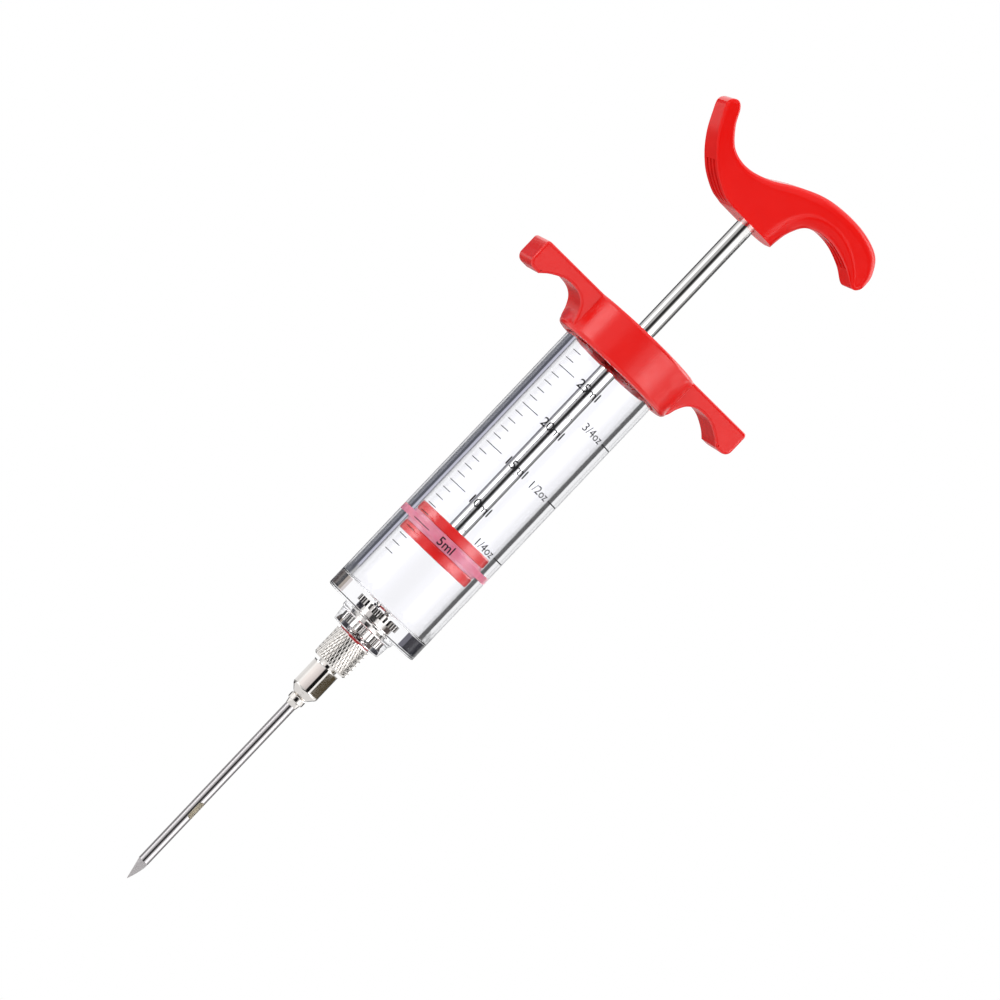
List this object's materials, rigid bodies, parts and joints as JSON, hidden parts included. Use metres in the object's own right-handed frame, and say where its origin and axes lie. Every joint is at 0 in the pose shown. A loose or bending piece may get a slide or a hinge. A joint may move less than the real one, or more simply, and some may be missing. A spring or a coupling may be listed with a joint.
{
  "type": "meat injector",
  "caption": "Marinade syringe: clear graduated barrel, screw-in hollow needle with a side port, twist-on finger cap and a sliding plunger with a palm handle.",
  "frame": {"origin": "the needle's tip, which is also the middle of the bottom of the whole object's box", "axes": "+Z along the syringe from the needle's tip to the handle, X along the finger wings and the handle, Y across them"},
  "size_m": [0.07, 0.035, 0.238],
  "materials": {
    "clear_plastic": "clear, polished",
    "red_plastic": "satin gloss",
    "nickel_plate": "polished",
    "polished_steel": "polished",
    "ground_steel": "ground, matt",
    "brass": "machined",
    "pink_silicone": "satin",
    "red_silicone": "satin"
  },
  "bodies": {
    "barrel": {"barrel": "clear_plastic", "neck_insert": "nickel_plate"},
    "gasket": {"needle_gasket": "red_silicone"},
    "needle": {"needle_base": "nickel_plate", "needle_tube": "polished_steel", "needle_point": "ground_steel"},
    "cap": {"finger_cap": "red_plastic"},
    "seal": {"piston_seal": "pink_silicone"},
    "plunger": {"piston_lower_disc": "red_plastic", "piston_upper_disc": "red_plastic", "piston_nut": "polished_steel", "plunger_rod": "polished_steel", "handle_insert": "brass", "handle": "red_plastic"}
  },
  "joints": [
    {"name": "plunger_slide", "type": "slide", "parent": "barrel", "child": "seal", "axis": [0, 0, 1], "range_m": [-0.0164, 0.0632]},
    {"name": "plunger_turn", "type": "hinge", "parent": "seal", "child": "plunger", "pos_m": [0, 0, 0.11185], "axis": [0, 0, 1], "continuous": true},
    {"name": "needle_lower", "type": "slide", "parent": "barrel", "child": "gasket", "axis": [0, 0, -1], "range_m": [0, 0.006]},
    {"name": "needle_unscrew", "type": "hinge", "parent": "gasket", "child": "needle", "pos_m": [0, 0, 0.0801], "axis": [0, 0, -1], "range_deg": [0, 2160]},
    {"name": "cap_twist", "type": "hinge", "parent": "barrel", "child": "cap", "pos_m": [0, 0, 0.1755], "axis": [0, 0, 1], "range_deg": [0, 60]}
  ],
  "couplings": [
    {"joint": "needle_lower", "follows": "needle_unscrew", "m_per_rad": 0.00015915}
  ]
}
